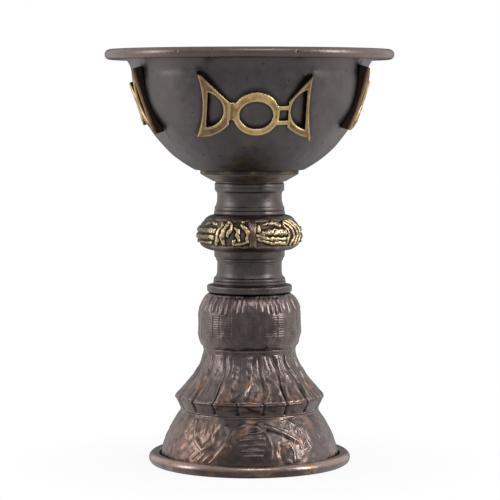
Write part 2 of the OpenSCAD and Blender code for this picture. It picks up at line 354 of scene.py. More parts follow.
def metal(name, base, dark, worn_and_sheen, roughness, *, grain, recess_and_shade=(0.012, 0.010, 0.010),
          stain=(0.10, 0.06, 0.02), patina=0.5, lines=0.0, line_pitch=0.45, pits=0.0):
    """Aged metal: base and dark patina in patches, worn_and_sheen colour where the relief is high
    and where rubbing with a painted highlight is given, and recess_and_shade colour where the relief
    is deep and where painted shade is given. lines are turning marks along the profile, pits are small
    dents, grain is fine texture."""
    made = bpy.data.materials.new(name)
    made.use_nodes = True
    tree = made.node_tree
    shader = tree.nodes["Principled BSDF"]
    shader.inputs["Metallic"].default_value = 1.0
    where = add_node(tree, "TexCoord").outputs["Object"]
    broad = noise(tree, where, 70)
    middle = noise(tree, where, 420, 4.0, 0.6)
    fine = noise(tree, where, 2600, roughness=0.6)
    high, deep_and_shade, stained = (attribute(tree, n) for n in ("high", "deep_and_shade", "stain"))
    patch = calc(tree, "ADD", times(tree, broad, 0.45), times(tree, middle, 0.55))
    patch = spread(tree, patch, 0.5 - patina * 0.35, 0.5 + patina * 0.35)
    colour = blend_colour(tree, patch, dark, base)
    speck = spread(tree, fine, 0.35, 0.65, 0.55, 1.0)
    wear_and_sheen = times(tree, spread(tree, high, 0.08, 0.85), speck, clamp=True)
    colour = blend_colour(tree, wear_and_sheen, colour, worn_and_sheen)
    sunk_and_shaded = spread(tree, deep_and_shade, 0.1, 0.9)
    colour = blend_colour(tree, sunk_and_shaded, colour, recess_and_shade)
    marked = times(tree, stained, spread(tree, middle, 0.3, 0.6), clamp=True)
    colour = blend_colour(tree, marked, colour, stain)
    rough = spread(tree, middle, 0.3, 0.7, roughness - 0.05, roughness + 0.08)
    rough = calc(tree, "SUBTRACT", rough, times(tree, wear_and_sheen, 0.10))
    rough = calc(tree, "ADD", rough, times(tree, sunk_and_shaded, 0.18), clamp=True)
    height = times(tree, fine, grain)
    if lines:
        along = times(tree, attribute(tree, "run"), 1.0 / line_pitch)
        ring = add_node(tree, "TexNoise", {
            "W": along, "Scale": 1.0, "Detail": 3.0, "Roughness": 0.6},
            noise_dimensions="1D").outputs["Fac"]
        height = calc(tree, "ADD", height, times(tree, ring, lines))
        colour = blend_colour(tree, spread(tree, ring, 0.35, 0.2, 0.0, 0.45), colour, dark)
    if pits:
        bend = add_node(tree, "TexNoise", {"Vector": where, "Scale": 900.0, "Detail": 2.0})
        pull = add_node(tree, "VectorMath", {0: bend.outputs["Color"], 1: (0.0016,) * 3},
                        operation="MULTIPLY").outputs[0]
        bent = add_node(tree, "VectorMath", {0: where, 1: pull}, operation="ADD").outputs[0]
        cell = add_node(tree, "TexVoronoi", {"Vector": bent, "Scale": 420.0})
        chosen = calc(tree, "GREATER_THAN", add_node(
            tree, "SeparateColor", {0: cell.outputs["Color"]}).outputs[0], 0.74)
        hole = times(tree, spread(tree, cell.outputs["Distance"], 0.24, 0.12), chosen)
        height = calc(tree, "SUBTRACT", height, times(tree, hole, pits))
        colour = blend_colour(tree, times(tree, hole, 0.35), colour, recess_and_shade)
    bump = add_node(tree, "Bump", {"Strength": 0.6, "Distance": 0.0001, "Height": height})
    for key, value in (("Base Color", colour), ("Roughness", rough), ("Normal", bump.outputs[0])):
        tree.links.new(value, shader.inputs[key])
    return made


bowl_copper = metal(
    "bowl_copper", (0.178, 0.155, 0.158), (0.130, 0.112, 0.114), (0.29, 0.205, 0.175), 0.36,
    grain=0.35, pits=0.9, lines=0.2, line_pitch=0.9, stain=(0.24, 0.16, 0.09))
turned_copper = metal(
    "turned_copper", (0.165, 0.142, 0.138), (0.105, 0.088, 0.086), (0.34, 0.26, 0.22), 0.34,
    grain=0.3, lines=0.7, line_pitch=0.5, stain=(0.26, 0.18, 0.09))
# Painted light: the collar's copper is a lighter copy of the turned copper, to brighten its
# downward-facing cone.
collar_copper_lightened = metal(
    "collar_copper_lightened", (0.42, 0.345, 0.32), (0.27, 0.22, 0.205), (0.42, 0.33, 0.20), 0.36,
    grain=0.35, lines=0.6, line_pitch=0.5, recess_and_shade=(0.066, 0.053, 0.048), stain=(0.32, 0.245, 0.14))
raised_copper = metal(
    "raised_copper", (0.215, 0.172, 0.163), (0.120, 0.095, 0.092), (0.60, 0.45, 0.385), 0.26,
    grain=0.4, lines=0.2, line_pitch=0.4, recess_and_shade=(0.022, 0.017, 0.017), stain=(0.36, 0.215, 0.155))
badge_brass = metal(
    "badge_brass", (1.0, 0.67, 0.28), (0.44, 0.27, 0.12), (1.0, 0.80, 0.42), 0.38,
    grain=1.2, patina=0.30, recess_and_shade=(0.040, 0.027, 0.020), stain=(0.235, 0.150, 0.110))
knop_brass = metal(
    "knop_brass", (0.30, 0.225, 0.19), (0.13, 0.098, 0.088), (1.0, 0.77, 0.42), 0.32,
    grain=0.9, recess_and_shade=(0.040, 0.030, 0.027))
fastener_brass = metal(
    "fastener_brass", (0.58, 0.43, 0.20), (0.36, 0.25, 0.11), (0.85, 0.68, 0.38), 0.34,
    grain=0.5, lines=0.4)
zinc_steel = metal(
    "zinc_steel", (0.46, 0.46, 0.47), (0.28, 0.28, 0.30), (0.66, 0.66, 0.66), 0.38,
    grain=0.6, lines=0.3)

# ---- bowl
SHEET = 1.0
BALL_R = 34.1
BALL_DROP = 4.4
FLARE_R = 6.0
RIM_ROLL_R = 1.5
SCREW_R = 3.0
bowl_z, rim_z = level("bowl"), level("bowl", True)
collar_z, collar_r = level("bowl_collar"), reach("bowl_collar")
ball_z = rim_z - BALL_DROP
roll_x, roll_z = reach("bowl") - RIM_ROLL_R, rim_z - RIM_ROLL_R
flare_x, flare_z = roll_x - 0.2, rim_z - FLARE_R - SHEET
wire_r = RIM_ROLL_R - 0.7
# Places on the bowl that only its outer side reaches, and only its rim
OUTER_SIDE, RIM_SIDE = 25.0, BALL_R + 1


def flare_reach(z):
    """Radius of the outer side of the flare at height z, and 0 below it."""
    up = np.clip(z - flare_z, 0, FLARE_R)
    return np.where(z > flare_z, flare_x - np.sqrt(FLARE_R ** 2 - up ** 2), 0)


def angle_on(radius, z):
    """Elevation of height z on the ball of that radius."""
    return math.degrees(math.asin((z - ball_z) / radius))


def bowl_relief(angle, z, r):
    body = ramp(z, bowl_z + 1.5, bowl_z + 5) * (1 - ramp(z, flare_z - 1, flare_z + 1.5))
    swirl = 0.035 * wobble(angle, z, BALL_R, 16, 3) + 0.012 * wobble(angle, z, BALL_R, 5, 4)
    # a shallow dent in the zone of the badges' painted shadow
    return body * (swirl - 0.02 * badge_shade(angle, z, r))


def bowl_rub_and_sheen(angle, z, r):
    """The rolled rim is rubbed, with a painted highlight, fading out at its lower edge."""
    return 0.6 * ramp(z, rim_z - 3.4, rim_z - 2.4) * (r > RIM_SIDE)


def bowl_marks(angle, z, r):
    """Brass-coloured smears in the front badge's ring and under it."""
    below = stroke(angle, z, BALL_R, [(-3, 93.2), (1, 93.8)], 1.3)
    in_ring = stroke(angle, z, BALL_R, [(-2, 103.4), (-1, 102.4)], 1.0)
    return np.where(r > OUTER_SIDE, np.maximum(0.7 * below, in_ring), 0)


# ---- outline of the badges
BADGE_T = 3.0
BADGE_RISE = 0.6
BADGE_BEND = 55.0
BADGE_RING_R = 6.5
BADGE_REACH = 16.1
BADGE_RING_V = -0.4
# Each badge's angle round the bowl, its angle below the centre of the ball, and its tilt
BADGES = {"badge_front": (3.5, 23.3, -1.6), "badge_right": (92, 17.5, 2.6),
          "badge_back": (181, 21, 0), "badge_left": (272.6, 18.5, -3)}


def disc(u, v, cu, cv, r):
    """Distance inside a circle. Distances inside a shape are negative outside it."""
    return r - np.hypot(u - cu, v - cv)


def block(u, v, u0, u1, v0, v1):
    """Distance inside a rectangle."""
    return -np.maximum(np.abs(u - (u0 + u1) / 2) - (u1 - u0) / 2,
                       np.abs(v - (v0 + v1) / 2) - (v1 - v0) / 2)


def fused(a, b, soft=0.35):
    """Union of two shapes, with a fillet where they meet."""
    h = np.clip(soft - np.abs(a - b), 0, None) / soft
    return np.maximum(a, b) + h * h * soft / 4


def under_line(u, v, v0, slope):
    """Distance below a line that rises at slope degrees from (5, v0)."""
    return -turned(v - v0, u - 5, slope)[0]


def crescent(u, v, slim):
    """A crescent with a half-round hole, its upper horn cut straight above. slim is 0 or 1."""
    hollow_r = 28.6 + 33 * slim
    hole_u, hole_v = BADGE_REACH - 1.75 + 1.35 * slim, 0.7 * slim - 0.2
    hole = np.minimum(disc(u, v, hole_u, hole_v, 5.25 + 0.95 * slim),
                      BADGE_REACH - 2.6 + 0.3 * slim - u)
    return np.minimum.reduce([
        disc(u, v, BADGE_REACH + 2.4 * slim, 1.7 + 3.3 * slim, 10.4 + 3.2 * slim),
        -disc(u, v, BADGE_REACH - 1.4 + hollow_r, 3 * slim - 0.6, hollow_r),
        9.8 + 0.4 * slim - v, under_line(u, v, 0.55 - 1.7 * slim, 41 + 8 * slim),
        u - 7.3 - 1.5 * slim, -hole])


def tail(u, v):
    """Distance inside the thin end of the lower right horn."""
    slide = np.clip((-7.6 - v) / 1.4, 0, 1)
    return 0.38 - 0.12 * slide - np.hypot(u - 15.05 - 0.25 * slide, v + 7.6 + 1.4 * slide)


def ring_hole(u, v):
    """Distance inside the ring's hole, which is a little wider than it is tall."""
    return 4.3 * (1 - np.hypot(u / 4.6, (v - BADGE_RING_V + 0.4) / 4.05))


def badge_field(u, v):
    """Distance inside the triple-moon outline: a ring between two crescents, joined by short bars."""
    shape = fused(disc(u, v, 0, BADGE_RING_V, BADGE_RING_R), crescent(u, v, 1))
    shape = fused(shape, crescent(-u, v, 0))
    shape = np.maximum(shape, tail(u, v))
    shape = fused(shape, block(u, v, -7.8, -5.3, -2.6, 2.7))
    shape = fused(shape, block(u, v, 5.6, 9.4, 0.7, 2.0))
    shape = fused(shape, block(u, v, 5.4, 9.4, -3.7, -2.4))
    return np.minimum(shape, -ring_hole(u, v))


def turned(a, b, degrees):
    """(a, b) turned from a towards b."""
    c, s = math.cos(math.radians(degrees)), math.sin(math.radians(degrees))
    return a * c - b * s, a * s + b * c


def badge_shade(angle, z, r):
    """The zone of the painted shadow that a badge casts on the bowl: 1 under a badge and just outside
    its outline, fading out above it, on the outer side.
    """
    shade = 0
    outside = np.hypot(r, z - ball_z) > BALL_R - SHEET / 2
    for azimuth, drop, roll in BADGES.values():
        way = np.radians(angle)
        x, y = turned(r * np.sin(way), -r * np.cos(way), 90 - azimuth)
        up, x = turned(z - ball_z, x, -drop)
        y, up = turned(y, up, -roll)
        near = np.maximum(badge_field(y, up), badge_field(y, up - 0.9) - 0.3)
        shade = np.maximum(shade, ramp(near, -1.5, 0.1) * (x > 20))
    return shade * outside


# ---- walls of the bowl
inner_r = BALL_R - SHEET
hole_r = SCREW_R + 0.1
bowl_outer = np.vstack([
    [[hole_r, bowl_z]],
    arc(0, ball_z, BALL_R, angle_on(BALL_R, bowl_z), angle_on(BALL_R, flare_z), 60),
    arc(flare_x, flare_z, FLARE_R, 176, 100, 14)])
bowl_inner = np.vstack([
    arc(flare_x, flare_z, FLARE_R + SHEET, 92, 176, 16),
    arc(0, ball_z, inner_r, angle_on(inner_r, flare_z), angle_on(inner_r, bowl_z + SHEET), 60),
    [[hole_r, bowl_z + SHEET], [hole_r, bowl_z]]])
lathe("bowl", bowl_copper, [
    (bowl_outer, 0.5, 1),
    (np.vstack([bowl_outer[-1:], arc(roll_x, roll_z, wire_r, 118, -140, 20),
                arc(roll_x, roll_z, RIM_ROLL_R, -140, 90, 26), bowl_inner[:1]]), 0.4, 0),
    (bowl_inner, 0.6, -1)], 540, bowl_relief, bowl_marks, bowl_rub_and_sheen,
    # painted shadow of the badges on the bowl, in the dark recess colour
    dark=lambda angle, z, r: 0.5 * badge_shade(angle, z, r))


def collar_marks(angle, z, r):
    """Brass-coloured streaks on the disc's edge."""
    streaks = ramp(wobble(angle, z * 0, 14, 9, 15), -0.3, 0.9)
    return streaks * ramp(z, bowl_z - 1.1, bowl_z - 0.8) * (r > 13.8)


lathe("bowl_collar", collar_copper_lightened, [(rounded([
    (SCREW_R, collar_z), (collar_r - 3.65, collar_z), (collar_r - 0.1, bowl_z - 1.3, 0.25),
    (collar_r, bowl_z - 1.0, 0.2), (collar_r, bowl_z, 0.2), (SCREW_R, bowl_z),
    (SCREW_R, collar_z)]), 0.35, 0)], 256, marks=collar_marks,
    dark=lambda angle, z, r: 0.75 * ramp(z, bowl_z - 1.5, bowl_z - 1.1) * (r > 13.5))


def thread(low, high, depth=0.5):
    """Relief of a right-handed thread of 1 mm pitch, cut into a rod between two heights."""
    def relief(angle, z, r):
        phase = (z - angle / 360) % 1
        threaded = window(z, low + 0.4, high - 0.3, 0.35) * (r > SCREW_R - 0.2)
        return -depth * np.abs(2 * phase - 1) * threaded
    return relief


def turned_ring(node, material, bore, edge=0.12):
    """A flat ring as high and wide as the CAD node."""
    low, high, r = level(node), level(node, True), reach(node)
    lathe(node, material, [(rounded([
        (bore, low), (r, low, edge), (r, high, edge), (bore, high, edge),
        (bore, low)]), 0.3, 0)], 192)


HEAD_R, HEAD_EDGE = 6, 0.8
screw_end, screw_seat = level("bowl_screw"), level("bowl_screw_washer", True)
screw_line = rounded([(0, screw_end), (SCREW_R - 0.5, screw_end), (SCREW_R, screw_end + 0.5, 0.1),
                      (SCREW_R, screw_seat, 0.05), (HEAD_R, screw_seat, 0.1),
                      (HEAD_R, screw_seat + HEAD_EDGE, 0.1)])
head_line = np.vstack([screw_line[-1:], swell(0, screw_seat + HEAD_EDGE, HEAD_R, 2.2, 2, 4, 90, 20)])


def screw_relief(angle, z, r):
    """The thread, and the slot in the head."""
    cut = thread(screw_end, collar_z)(angle, z, r) * (z < collar_z)
    across = np.abs(r * np.cos(np.radians(angle - 20)))
    slot_depth = np.maximum(z - (screw_seat + 2 * HEAD_EDGE), 0) * (1 - ramp(across, 0.42, 0.62))
    return cut - slot_depth * (z > screw_seat + 1)


lathe("bowl_screw", fastener_brass, [(screw_line, 0.1, 1), (head_line, 0.12, 1)], 240, screw_relief)
turned_ring("bowl_screw_washer", fastener_brass, SCREW_R)
turned_ring("seat_washer", turned_copper, SCREW_R + 0.05)


# ---- badges
def badge_slope(u, v, e):
    """How steeply the distance inside the outline grows across and up, over e to each side."""
    return ((badge_field(u + e, v) - badge_field(u - e, v)) / (2 * e),
            (badge_field(u, v + e) - badge_field(u, v - e)) / (2 * e))


def badge_plan(step=0.14):
    """Points and faces of the badge's outline on a fine grid, snapped to the outline at its edges."""
    u, v = np.meshgrid(np.arange(-17.2, 17.3, step), np.arange(-11.0, 13.0, step), indexing="ij")
    f = badge_field(u, v)
    gu, gv = badge_slope(u, v, 1e-3)
    near = np.abs(f) < 0.35 * step
    size = np.maximum(gu * gu + gv * gv, 0.2)
    u, v = u - np.where(near, f * gu / size, 0), v - np.where(near, f * gv / size, 0)
    f = np.where(near, 0.0, f)
    points, index, faces = [], {}, []

    def point(key, x, y):
        if key not in index:
            index[key] = len(points)
            points.append((x, y))
        return index[key]

    inside = f >= 0
    touched = inside[:-1, :-1] | inside[1:, :-1] | inside[1:, 1:] | inside[:-1, 1:]
    for i, j in zip(*np.nonzero(touched)):
        around = [(i, j), (i + 1, j), (i + 1, j + 1), (i, j + 1)]
        face = []
        for a, b in zip(around, around[1:] + around[:1]):
            if inside[a]:
                face.append(point(a, u[a], v[a]))
            if f[a] * f[b] < 0:
                t = f[a] / (f[a] - f[b])
                face.append(point((min(a, b), max(a, b)),
                                  u[a] + (u[b] - u[a]) * t, v[a] + (v[b] - v[a]) * t))
        face = list(dict.fromkeys(face))
        if len(face) > 2:
            faces.append(face)
    return np.array(points), faces


def badge_mesh_parts():
    """The badge's points in its own frame (out, across, up), its faces, its wear and stain, and its
    dark patina and painted shade.
    """
    plan, tops = badge_plan()
    u, v = plan[:, 0], plan[:, 1]
    depth = np.maximum(badge_field(u, v), 0)
    slope = np.hypot(*badge_slope(u, v, 0.05))
    edge = 0.45
    fall = edge * (1 - np.sqrt(1 - np.clip(1 - depth / edge, 0, 1) ** 2))
    hollow = ramp(depth, 0.4, 1.0)
    rough = 0.03 * wobble(u * 6, v, 9, 2.2, 11) * ramp(depth, 0.1, 0.5)
    bridge = window(-u, 6.6, 7.0, 0.4) * window(v, -2.2, 2.2, 0.5)
    lift = -fall - 0.06 * hollow + rough - 0.15 * bridge - 0.03
    face_r = BALL_R + BADGE_RISE

    def out(rise):
        return face_r - BADGE_BEND + np.sqrt((BADGE_BEND + rise) ** 2 - u * u)

    ball = np.sqrt(BALL_R ** 2 - u * u - v * v) - 0.03
    top = out(lift)
    bottom = np.minimum(np.maximum(out(-BADGE_T), ball), top - 0.2)
    count, levels = len(plan), 4
    edges = dict.fromkeys(side for face in tops for side in zip(face, face[1:] + face[:1]))
    border = [(a, b) for a, b in edges if (b, a) not in edges]
    ring = np.array(sorted({i for side in border for i in side}))
    place = {i: k for k, i in enumerate(ring)}
    points = [np.stack([top, u, v], 1), np.stack([bottom, u, v], 1)]
    for k in range(1, levels):
        x = top[ring] + (bottom[ring] - top[ring]) * k / levels
        points.append(np.stack([x, u[ring], v[ring]], 1))
    faces = list(tops) + [[i + count for i in face[::-1]] for face in tops]

    def wall(i, k):
        if k == 0:
            return i
        return i + count if k == levels else 2 * count + (k - 1) * len(ring) + place[i]

    for a, b in border:
        faces += [[wall(b, k), wall(a, k), wall(a, k + 1), wall(b, k + 1)] for k in range(levels)]
    polish = window(depth, 0.12, 0.5, 0.25) * ramp(slope, 0.3, 0.8)
    polish = polish * (1 - 0.55 * ramp(np.abs(u), 12, 15)) * (1 - bridge)
    zeros = np.zeros(sum(map(len, points)) - count)
    high = np.concatenate([np.clip(polish, 0, 1), zeros])
    # dark patina in the valleys of the bars, and painted shade on the side walls
    deep_and_shade = np.concatenate([0.2 * bridge, 0 * bottom, zeros[count:] + 0.95])
    brown = ramp(np.abs(u), 7.0, 10.0) + 0.6 * bridge
    stain = np.concatenate([np.clip(brown, 0, 1) * (1 - 0.7 * polish), zeros])
    return np.vstack(points), faces, high, deep_and_shade, stain


badge_points, badge_faces, badge_high, badge_deep_and_shade, badge_stain = badge_mesh_parts()
for badge_name, (azimuth, drop, roll) in BADGES.items():
    y, z = turned(badge_points[:, 1], badge_points[:, 2], roll)
    z, x = turned(z, badge_points[:, 0], drop)
    x, y = turned(x, y, azimuth - 90)
    z = z + ball_z
    clear = np.maximum(flare_reach(z) / np.hypot(x, y), 1)
    placed = np.stack([x * clear, y * clear, z], 1)
    mesh = bpy.data.meshes.new(badge_name)
    mesh.from_pydata((placed * MM).tolist(), [], badge_faces)
    mesh.update()
    # Painted shade: the side and back badges are a darker, less polished copy of the front one.
    side_shade = 0 if badge_name == "badge_front" else 0.8
    add_attributes(mesh, {"high": badge_high * (1 - 0.5 * side_shade), "stain": badge_stain,
                          "deep_and_shade": np.maximum(badge_deep_and_shade, side_shade * (1 - badge_high))})
    finish_piece(mesh, badge_name, badge_brass)

# ---- stem
WAIST_R = 9.4
SPIGOT_R = 6.5
BEAD_R, LOW_BEAD_R = 10.1, 10.4
washer_z, rod_top = level("seat_washer"), level("tie_rod", True)
knop_z, knop_top_z = level("knop"), level("knop", True)
stem_foot_z, spigot_z = level("stem_lower"), level("stem_upper")
bead_z, socket_z = washer_z - 2.5, washer_z - 7.4
flare_top_z = knop_top_z + 2.9


def about(r, z, *steps):
    """Corners of a profile, each a step (out, up, rounding) from the point (r, z)."""
    return [(r + step[0], z + step[1], *step[2:]) for step in steps]


def stem_relief(seed, low, high):
    def relief(angle, z, r):
        return 0.012 * wobble(angle, z, 10, 7, seed) * (r > 9) * window(z, low + 0.6, high - 0.6, 0.3)
    return relief


lathe("stem_upper", turned_copper, [(rounded([
    (0, rod_top), (SCREW_R, rod_top), (SCREW_R, spigot_z), (SPIGOT_R, spigot_z),
    (SPIGOT_R, knop_top_z),
    *about(BEAD_R, knop_top_z, (0, 0), (0.3, 0.5, 0.3)),
    *about(BEAD_R, flare_top_z, (0.1, -1.65, 0.2), (-0.12, -1.5, 0.1), (0.08, -1.35, 0.1),
           (0.05, -0.7, 0.4)),
    *about(WAIST_R, flare_top_z, (0.35, -0.1, 0.5), (0, 1.1, 0.8)),
    *about(WAIST_R, bead_z, (-0.05, -1.2, 0.8), (0.05, -0.35, 0.2)),
    *about(BEAD_R, bead_z, (-0.25, 0, 0.15), (-0.02, 0.3, 0.2), (0, 1.05, 0.15), (-0.12, 1.15, 0.05),
           (0, 1.25, 0.15)),
    *about(BEAD_R, washer_z, (0, -0.4, 0.2), (-0.35, 0, 0.1)),
    *about(SCREW_R, washer_z, (0.45, 0, 0.05), (0.05, -0.4, 0.1)),
    (SCREW_R + 0.05, socket_z), (0, socket_z)], 0.08), 0.22, 1)],
    288, stem_relief(21, knop_top_z, washer_z))

base_bead_z, top_bead_z = stem_foot_z + 0.3, knop_z - 2.2
lathe("stem_lower", turned_copper, [(rounded([
    (SCREW_R, stem_foot_z), (LOW_BEAD_R - 0.3, stem_foot_z),
    *about(LOW_BEAD_R, base_bead_z, (-0.3, 0, 0.05), (0.15, 0.15, 0.15), (0.15, 0.8, 0.2),
           (-0.15, 0.95, 0.05), (0.02, 1.1, 0.15), (0, 1.7, 0.3)),
    *about(WAIST_R, base_bead_z, (0.35, 2.2, 0.3), (0, 3.2, 0.6)),
    *about(WAIST_R, top_bead_z, (-0.05, -1.6, 0.6), (0.05, -0.9, 0.2), (0.35, -0.75, 0.1),
           (0.3, -0.3, 0.1)),
    *about(LOW_BEAD_R, top_bead_z, (-0.4, 0, 0.15), (-0.15, 0.35, 0.2)),
    (LOW_BEAD_R - 0.15, knop_z, 0.1), (SPIGOT_R, knop_z), (SPIGOT_R, spigot_z), (SCREW_R, spigot_z),
    (SCREW_R, stem_foot_z)], 0.08), 0.22, 1)], 288, stem_relief(22, stem_foot_z, knop_z))


# ---- knop
KNOP_NECK_R = 10.6
KNOP_RELIEF = 0.25
KNOP_MID_R = 15  # mean radius of the relief
HALF_TURN = 180.0
knop_out = reach("knop") - KNOP_NECK_R - KNOP_RELIEF
knop_mid_z = knop_z + 4.3


def knop_relief(angle, z, r):
    """Cast relief, twice round: packed bars with dots, wavy columns, a leaf by a plain gap, arcs."""
    angle = angle + 0.45 * wobble(angle, z, KNOP_MID_R, 2.6, 34)
    v = z - knop_mid_z + 0.06 * wobble(angle, z, KNOP_MID_R, 2.2, 35)

    def line(points, width, height):
        return height * stroke(angle, v, KNOP_MID_R, points, width * 1.12, HALF_TURN, power=0.7)

    dotted = strokes(
        line,
        (0.95, 1, 14, 1.1, 20, 1.55, 30, 1.6, 43, 1.45), (0.72, 1, -100, 1.9, -68, 1.75, -43, 1.9),
        (0.75, 1, -98, -0.2, -66, -0.2, -44, -0.1))
    plain = strokes(
        line,
        (0.3, 0.8, 17, 3.75, 22, 4.1, 27, 3.8), (0.6, 1, 27, 4.2, 32, 4.1, 37, 3.5),
        (0.5, 1, 9, 0.6, 16, -0.1, 26, -0.4, 43, -0.45),
        (0.5, 1, 10, -0.3, 18, -1.1, 26, -1.6, 42, -1.65), (0.36, 1, 11, 3.3, 11, 1.9),
        (0.42, 1, 43.8, 3.7, 47.8, 1.9, 47.2, 0.1, 45.1, -2),
        (0.55, 1, 46, 4.3, 55, 2.4, 57.4, 0.1, 52.4, -2.1),
        (0.5, 1, 51, 4.9, 62.2, 2.9, 65.3, 0.3, 60, -2.1),
        (0.45, 1, 59, 4.9, 70, 2.8, 73.3, 0.3, 67, -2.1), (0.4, 0.6, -62, 3.6, -52, 4.2, -42, 3.8),
        (0.4, 0.8, -96, -1.8, -66, -1.7, -47, -1.6),
        (0.72, 1, -33.4, 3.7, -37, 1.3, -38, -0.5, -39.4, -1.9),
        (0.68, 1, -26.3, 4.3, -28.4, 2.4, -31.6, 1.1, -30, -1.5),
        (0.46, 1, -21.5, 3.9, -21, 2.9, -23.1, 1.6, -24.2, 0.4),
        (0.44, 1, -15.5, 2.65, -11.5, 2.1, -13.6, 0.8, -11, -0.8),
        (0.5, 0.8, -17.5, -1, -17.5, -1.9), (0.36, 0.8, -8.2, 4.6, -8, 4.5),
        (0.5, 1, -8.7, 3.6, -3.9, 2.6, -0.6, 0.8, -2.9, -1.2),
        (0.45, 0.75, -2.9, -1.3, -8, -1.8, -14.5, -1.9))
    dots = 0.10 * wobble(angle, v, KNOP_MID_R, 1.0, 31, 26)
    ridge = np.maximum(np.maximum.reduce(dotted) * (0.92 + dots), np.maximum.reduce(plain))
    gap = window(wrap(angle - 3.5, HALF_TURN), -2.5, 2.5, 3)
    carved = window(v, -2.3, 4.4, 0.7) * (1 - gap)
    edge_fade = window(z, knop_z + 0.4, knop_top_z - 0.5, 0.5) * (r > KNOP_NECK_R + 0.2)
    swing = 0.03 * wobble(angle, v, KNOP_MID_R, 4, 33)
    cast = ridge * (0.92 + 0.10 * wobble(angle, v, KNOP_MID_R, 1.6, 32))
    return np.minimum((cast - 0.42) * 0.55 * carved + swing, KNOP_RELIEF) * edge_fade


knop_line = np.vstack([
    [[SPIGOT_R, knop_z]],
    swell(KNOP_NECK_R, knop_mid_z - 0.4, knop_out, knop_mid_z - 0.4 - knop_z, 2, -90, 0, 30),
    swell(KNOP_NECK_R, knop_mid_z + 0.4, knop_out, knop_top_z - knop_mid_z - 0.4, 1.7, 0, 90, 34),
    [[SPIGOT_R, knop_top_z]]])
lathe("knop", knop_brass, [
    (knop_line, 0.16, 1), (np.array([knop_line[-1], knop_line[0]]), 1.5, 0)], 720, knop_relief,
    dark=lambda angle, z, r: 0.6 * window(wrap(angle + 78, HALF_TURN), -26, 26, 8), fine=0.12)

# ---- foot
FOOT_T = 0.9
FOOT_R, SKIRT_R, BULB_R = reach("foot_base"), reach("foot_skirt"), reach("foot_bulb")
skirt_z, bulb_z = level("foot_skirt"), level("foot_bulb")
foot_collar_z, collar_edge = level("foot_collar"), reach("foot_collar")

lathe("foot_collar", turned_copper, [(rounded([
    (SCREW_R, foot_collar_z), (collar_edge - 0.35, foot_collar_z),
    (collar_edge - 0.08, foot_collar_z + 0.3, 0.2), (collar_edge - 0.04, stem_foot_z - 0.3, 0.12),
    (collar_edge - 0.3, stem_foot_z, 0.12), (SCREW_R, stem_foot_z),
    (SCREW_R, foot_collar_z)]), 0.2, 1)],
    288, lambda angle, z, r: 0.015 * wobble(angle, z, 12, 6, 40) * (r > 11),
    # rubbed top edge of the collar, lit by a painted highlight
    rub_and_sheen=lambda angle, z, r: 0.5 * ramp(z, stem_foot_z - 0.5, stem_foot_z - 0.2) * (r > 11))

panel_top, panel_low = foot_collar_z - 6.0, foot_collar_z - 11.8
rng = np.random.default_rng(12)
PANELS = 32
BULB_MID_R = 15
panel_jitter = rng.uniform(-2.4, 2.4, PANELS)
panel_phase = rng.uniform(0, 1, PANELS)
panel_rise = rng.uniform(-0.06, 0.12, PANELS)


def by_panel(angle, jitter, count):
    """Which of count panels each angle is in, and its distance in degrees from the nearer edge."""
    edges = np.sort((np.arange(count) * 360 / count + jitter) % 360)
    a = angle % 360
    k = np.searchsorted(edges, a) % count
    low = edges[k - 1]
    width = (edges[k] - low) % 360
    into = (a - low) % 360
    return k, np.minimum(into, width - into), into / width


def bulb_relief(angle, z, r):
    """Flutes round the shoulder, ruled panels below them, and a dented plain band at the foot."""
    flutes = 54
    sway = 0.5 * np.sin(np.radians(angle * 5)) + 0.4 * wobble(angle, z * 0, BULB_MID_R, 9, 41)
    wave = np.cos(np.radians(angle * flutes + 40 * sway))
    top, low = foot_collar_z - 0.9, panel_top
    tongue = np.clip(0.5 + 0.5 * wave, 0, 1) * window(z, low + 1.6, top - 0.6, 1.4)
    strength = 0.34 * (0.75 + 0.3 * wobble(angle, z * 0, BULB_MID_R, 5, 46))
    made = strength * (tongue - 0.45 * window(z, low + 1.4, top, 1.6))
    k, edge, _ = by_panel(angle, panel_jitter, PANELS)
    in_panel = window(z, panel_low, panel_top, 0.25)
    rules = np.cos(2 * math.pi * (z / 0.66 + 0.2 * panel_phase[k]))
    made += in_panel * (0.05 * rules * ramp(edge, 0.2, 1.2) + 0.35 * panel_rise[k]
                        - 0.09 * (1 - ramp(edge, 0.2, 1.3)) * (panel_phase[k] > 0.3))
    band = window(z, bulb_z + 0.8, panel_low - 0.4, 0.6)
    made += band * (0.06 * wobble(angle, z, BULB_MID_R, 5, 42) + 0.04)
    dents = [stroke(angle, z, BULB_MID_R, [(a, bulb_z + 3.0), (a + 4, bulb_z + 2.4)], 0.8)
             for a in (-58, -28, -20, 31, 118, 214)]
    made -= 0.12 * np.maximum.reduce(dents)
    scored = [(a, panel_low - 0.3) for a in range(-180, 181, 6)]
    made -= 0.05 * stroke(angle, z, BULB_MID_R, scored, 0.4)
    hammer = 0.05 * wobble(angle, z, BULB_MID_R, 6, 43) + 0.010 * wobble(angle, z, BULB_MID_R, 1.8, 44)
    fade = window(z, bulb_z + 0.5, foot_collar_z - 0.8, 0.5) * (r > 9)
    return (made + hammer) * fade - 0.06 * fade


def bulb_marks(angle, z, r):
    """A brass-coloured stain under the foot's collar."""
    brass = window(z, foot_collar_z - 1.2, foot_collar_z - 0.2, 0.4) * (r > 9)
    return 0.8 * brass * ramp(wobble(angle, z, 14, 7, 45), 0.2, 1.4)


